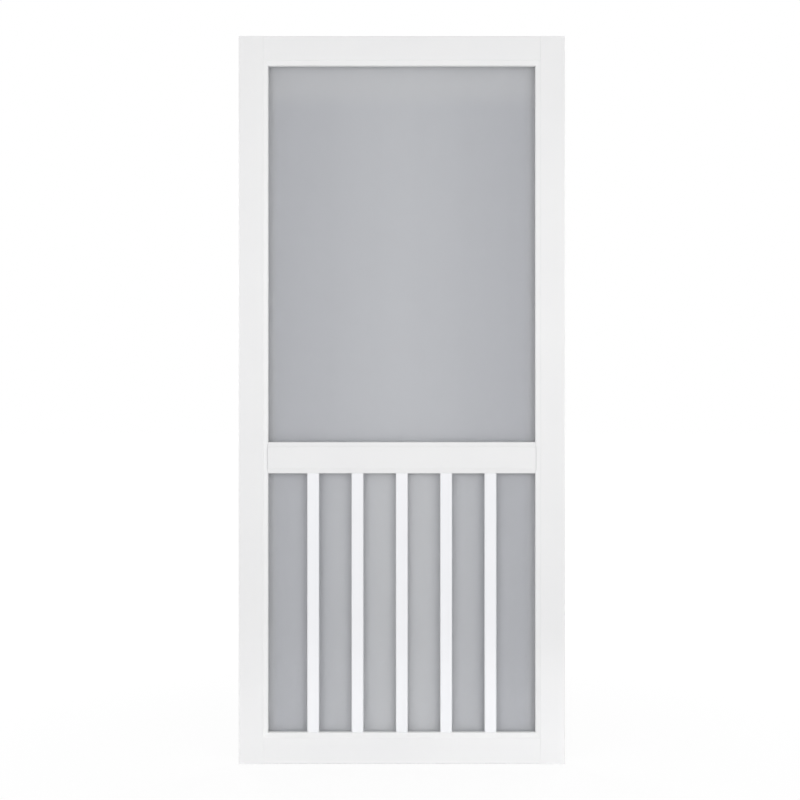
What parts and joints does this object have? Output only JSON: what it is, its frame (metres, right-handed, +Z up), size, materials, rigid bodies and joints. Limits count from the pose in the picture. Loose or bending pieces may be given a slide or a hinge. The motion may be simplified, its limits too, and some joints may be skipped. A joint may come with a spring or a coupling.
{
  "type": "vinyl screen door leaf",
  "caption": "White rigid vinyl screen door leaf: two stiles and three rails of hollow lipped profile hold an upper and a lower insect screen, the lower one behind upright bars.",
  "frame": {"origin": "foot of the hinge edge, in the middle of the leaf's thickness", "axes": "+X across the leaf from the hinge edge to the latch edge, +Z up; the outside face, with the bars in front of the screen, looks along -Y"},
  "size_m": [0.9081, 0.027, 2.0257],
  "materials": {
    "frame_vinyl": "satin white rigid vinyl extrusion",
    "bar_vinyl": "satin white rigid vinyl extrusion",
    "plug_vinyl": "moulded white vinyl",
    "screen_cloth": "grey vinyl-coated fibreglass insect screen",
    "spline_rubber": "grey ribbed spline cord"
  },
  "bodies": {
    "root": {"hinge_stile": "frame_vinyl", "latch_stile": "frame_vinyl", "top_rail": "frame_vinyl", "mid_rail": "frame_vinyl", "bottom_rail": "frame_vinyl", "bar_1": "bar_vinyl", "bar_2": "bar_vinyl", "bar_3": "bar_vinyl", "bar_4": "bar_vinyl", "bar_5": "bar_vinyl", "hinge_stile_foot_plugs": "plug_vinyl", "hinge_stile_head_plugs": "plug_vinyl", "latch_stile_foot_plugs": "plug_vinyl", "latch_stile_head_plugs": "plug_vinyl", "mid_rail_hinge_side_plugs": "plug_vinyl", "mid_rail_latch_side_plugs": "plug_vinyl", "upper_screen": "screen_cloth", "lower_screen": "screen_cloth", "upper_spline_bottom": "spline_rubber", "upper_spline_top": "spline_rubber", "upper_spline_left": "spline_rubber", "upper_spline_right": "spline_rubber", "lower_spline_bottom": "spline_rubber", "lower_spline_top": "spline_rubber", "lower_spline_left": "spline_rubber", "lower_spline_right": "spline_rubber"}
  },
  "joints": []
}
